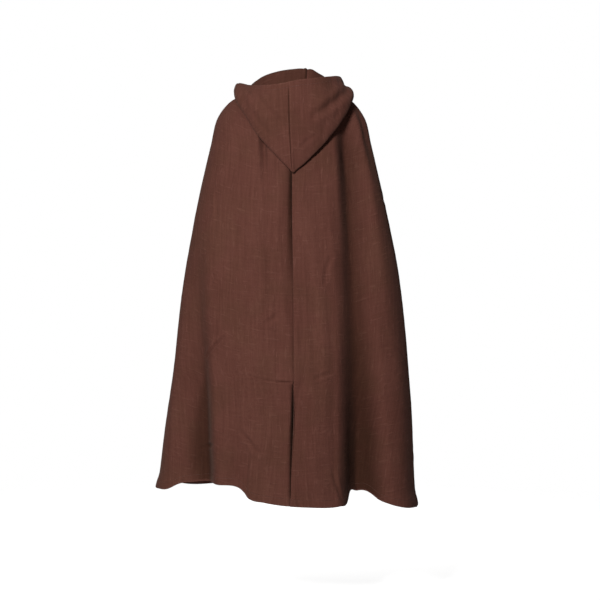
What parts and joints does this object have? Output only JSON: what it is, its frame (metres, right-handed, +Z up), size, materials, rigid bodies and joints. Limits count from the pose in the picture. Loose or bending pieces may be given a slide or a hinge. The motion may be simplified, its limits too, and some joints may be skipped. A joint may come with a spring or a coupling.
{
  "type": "hooded cloak",
  "caption": "Full-length hooded cloak in plain brown slubby linen, hood down, hanging hollow from the shoulders, open at the neck, front and hem, held by a throat tab.",
  "frame": {"origin": "middle of the neck opening, at the height where the shoulders carry the cloak", "axes": "+Z up, +Y to the cloak's back and -Y to its front opening, +X to the wearer's left"},
  "size_m": [0.8108, 0.545, 1.3446],
  "materials": {
    "linen": "matte, plain weave with slubs, reddish brown",
    "horn": "dark horn, satin"
  },
  "bodies": {
    "root": {"back_left": "linen", "back_right": "linen", "front_left": "linen", "front_right": "linen", "hood_left": "linen", "hood_right": "linen", "throat_tab": "linen", "throat_button": "horn"}
  },
  "joints": []
}
